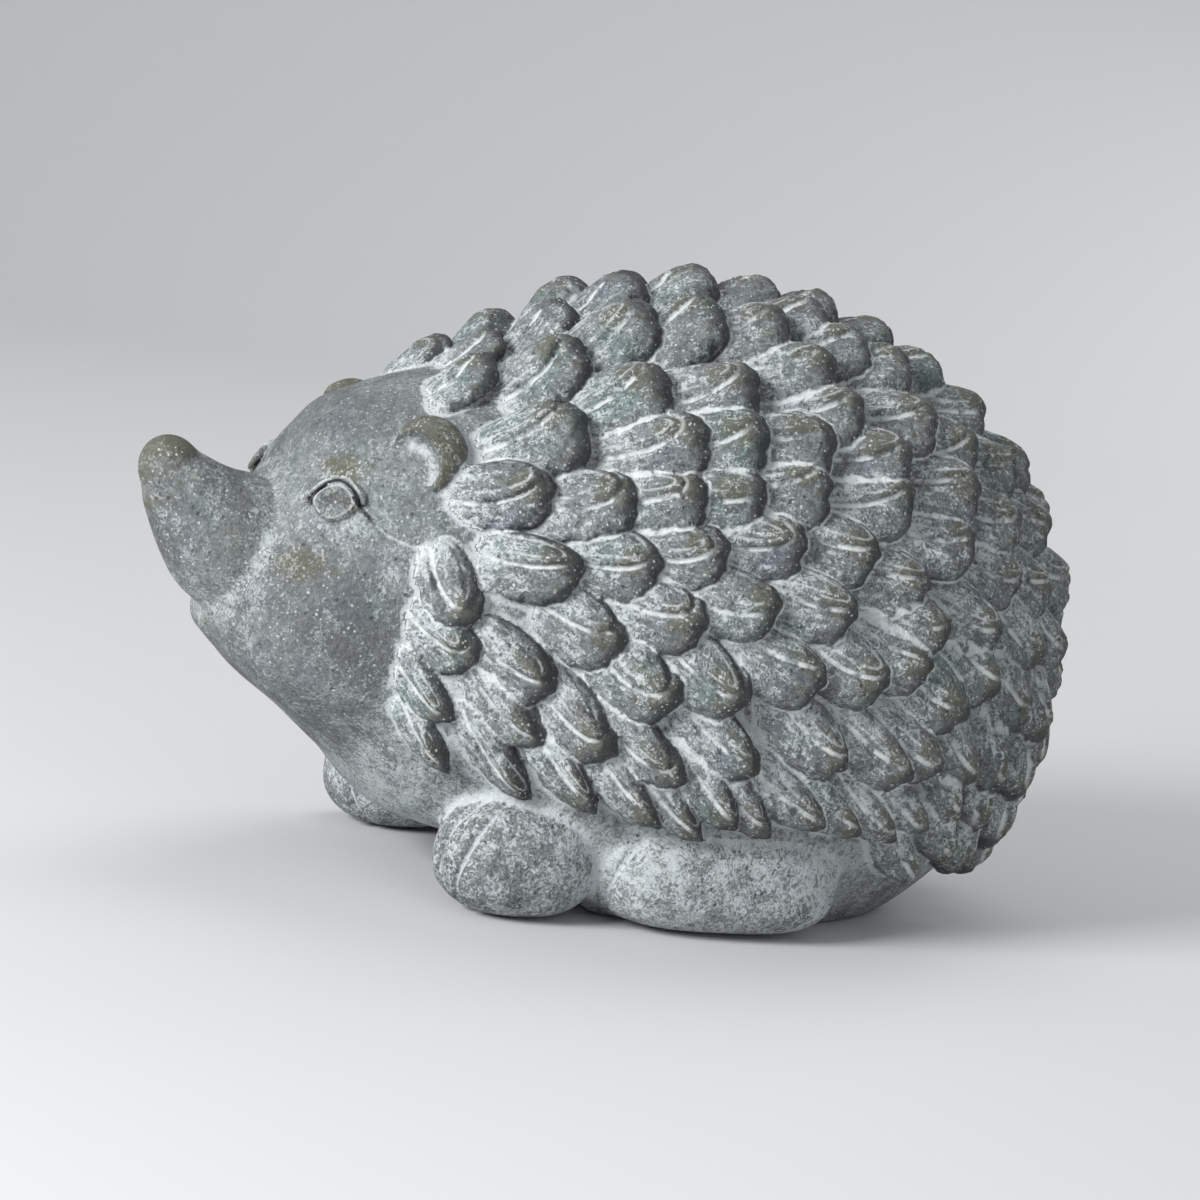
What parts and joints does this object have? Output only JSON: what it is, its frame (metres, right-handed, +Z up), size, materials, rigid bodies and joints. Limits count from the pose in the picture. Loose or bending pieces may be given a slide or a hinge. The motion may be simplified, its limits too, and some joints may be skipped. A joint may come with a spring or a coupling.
{
  "type": "hedgehog figurine",
  "caption": "Garden hedgehog figurine in cast grey stone: upturned snout, small ears, low feet and a coat of overlapping leaf-shaped quills, standing on its flat underside.",
  "frame": {"origin": "Middle of the closing plug's lower face, on the plane that the figurine stands on.", "axes": "+Z up, the nose points along -Y, the animal's left flank is +X."},
  "size_m": [0.145, 0.2556, 0.1592],
  "materials": {
    "body_stone": "matt, chalky wash",
    "coat_stone": "matt, pale wash in the grooves",
    "rubbed_stone": "rubbed, faint sheen",
    "plug_stone": "rough, unwashed"
  },
  "bodies": {
    "root": {"core_shell": "body_stone", "base_plug": "plug_stone", "head": "body_stone", "snout": "body_stone", "nose_tip": "rubbed_stone", "eye_left": "rubbed_stone", "eye_right": "rubbed_stone", "eyelid_left": "body_stone", "eyelid_right": "body_stone", "ear_left": "rubbed_stone", "ear_right": "rubbed_stone", "front_foot_left": "body_stone", "front_foot_right": "body_stone", "hind_foot_left": "body_stone", "hind_foot_right": "body_stone", "quill_row_01": "coat_stone", "quill_row_02": "coat_stone", "quill_row_03": "coat_stone", "quill_row_04": "coat_stone", "quill_row_05": "coat_stone", "quill_row_06": "coat_stone", "quill_row_07": "coat_stone", "quill_row_08": "coat_stone", "quill_row_09": "coat_stone", "quill_row_10": "coat_stone", "quill_row_11": "coat_stone", "quill_row_12": "coat_stone", "quill_row_13": "coat_stone", "quill_row_14": "coat_stone"}
  },
  "joints": []
}
